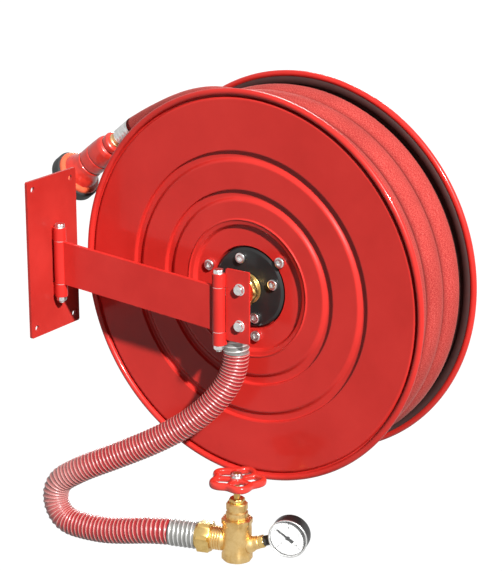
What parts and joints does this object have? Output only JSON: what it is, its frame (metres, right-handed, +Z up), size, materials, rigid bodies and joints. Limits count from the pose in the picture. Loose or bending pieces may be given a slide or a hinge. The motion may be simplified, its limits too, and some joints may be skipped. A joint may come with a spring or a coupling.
{
  "type": "fire hose reel",
  "caption": "Swinging wall-mounted fire hose reel: a pressed steel drum on a hinged arm, wound flat hose with a nozzle, and a ribbed feed hose to an angle valve with a pressure gauge.",
  "frame": {"origin": "centre of the four-bolt pattern on the wall plate's back face", "axes": "+X away from the wall, +Y along the drum's axis from its front disc to its rear disc, +Z up"},
  "size_m": [0.6486, 0.294, 0.65],
  "materials": {
    "red_paint": "gloss enamel",
    "zinc_steel": "zinc plated",
    "brass": "machined",
    "black_metal": "satin",
    "wheel_paint": "gloss enamel",
    "seal_rubber": "moulded",
    "woven_hose": "woven jacket",
    "ribbed_hose": "smooth with a spiral rib",
    "bumper_rubber": "moulded",
    "red_plastic": "moulded",
    "black_plastic": "moulded",
    "hose_sleeve": "pressed",
    "dial_white": "printed",
    "glass": "clear"
  },
  "bodies": {
    "wall_mount": {"wall_plate": "red_paint", "wall_knuckles": "red_paint", "wall_hinge_bolt": "zinc_steel", "wall_hinge_nut": "zinc_steel", "wall_hinge_washers": "zinc_steel"},
    "arm": {"arm_bar": "red_paint", "arm_barrels": "red_paint"},
    "hub": {"bracket_plate": "red_paint", "bracket_knuckles": "red_paint", "hub_hinge_bolt": "zinc_steel", "hub_hinge_nut": "zinc_steel", "hub_hinge_washers": "zinc_steel", "bracket_bolts": "zinc_steel", "waterway_elbow": "red_paint", "swivel_nut": "brass", "axle_tube": "brass", "axle_washer": "zinc_steel", "axle_nut": "zinc_steel", "feed_hose": "ribbed_hose", "feed_ferrule_hub": "zinc_steel", "union_nut": "brass", "hose_spigot": "brass", "feed_ferrule_valve": "zinc_steel", "valve_body": "brass", "valve_bonnet": "brass", "gland_packing": "seal_rubber", "gland_nut": "brass", "gauge_adapter": "brass", "gauge_case": "black_plastic", "gauge_dial": "dial_white", "gauge_bezel": "black_plastic", "gauge_glass": "glass"},
    "gauge_needle": {"gauge_needle": "black_plastic"},
    "valve_plug": {"seat_washer": "seal_rubber", "valve_plug": "brass"},
    "valve_stem": {"valve_stem": "brass", "handwheel": "wheel_paint", "handwheel_nut": "zinc_steel"},
    "drum": {"front_disc": "red_paint", "rear_disc": "red_paint", "drum_core": "red_paint", "front_flange": "black_metal", "rear_flange": "black_metal", "flange_screws": "zinc_steel", "tie_bolts": "zinc_steel", "tie_nuts": "zinc_steel", "tie_spacers": "zinc_steel", "hub_spool": "brass", "hub_bushes": "brass", "hub_seals": "seal_rubber", "hose_outlet": "brass", "hose_coil": "woven_hose", "hose_tail": "woven_hose", "hose_ferrule": "hose_sleeve", "nozzle_coupling": "brass", "nozzle_body": "red_plastic"},
    "nozzle_head": {"nozzle_head": "red_plastic", "nozzle_bumper": "bumper_rubber"}
  },
  "joints": [
    {"name": "arm_swing", "type": "hinge", "parent": "wall_mount", "child": "arm", "pos_m": [0.016, 0, -0.0108], "axis": [0, 0, 1], "range_deg": [-90, 0]},
    {"name": "hub_swivel", "type": "hinge", "parent": "arm", "child": "hub", "pos_m": [0.289, 0, -0.03], "axis": [0, 0, 1], "range_deg": [-150, 0]},
    {"name": "drum_spin", "type": "hinge", "parent": "hub", "child": "drum", "pos_m": [0.3, 0.1225, -0.0125], "axis": [0, 1, 0], "continuous": true},
    {"name": "nozzle_turn", "type": "hinge", "parent": "drum", "child": "nozzle_head", "pos_m": [0.0654, 0.11, 0.1697], "axis": [-0.776, 0, -0.6307], "range_deg": [0, 180]},
    {"name": "stem_turn", "type": "hinge", "parent": "valve_plug", "child": "valve_stem", "pos_m": [0.336, -0.026, -0.3], "axis": [0, 0, 1], "range_deg": [0, 1080]},
    {"name": "plug_lift", "type": "slide", "parent": "hub", "child": "valve_plug", "axis": [0, 0, 1], "range_m": [0, 0.0075]},
    {"name": "needle_turn", "type": "hinge", "parent": "hub", "child": "gauge_needle", "pos_m": [0.40789, -0.00402, -0.33014], "axis": [0.2924, -0.9563, 0], "range_deg": [-190, 80], "stiffness_Nm_per_rad": 0.0002}
  ],
  "couplings": [
    {"joint": "plug_lift", "follows": "stem_turn", "m_per_rad": 0.00039789}
  ]
}
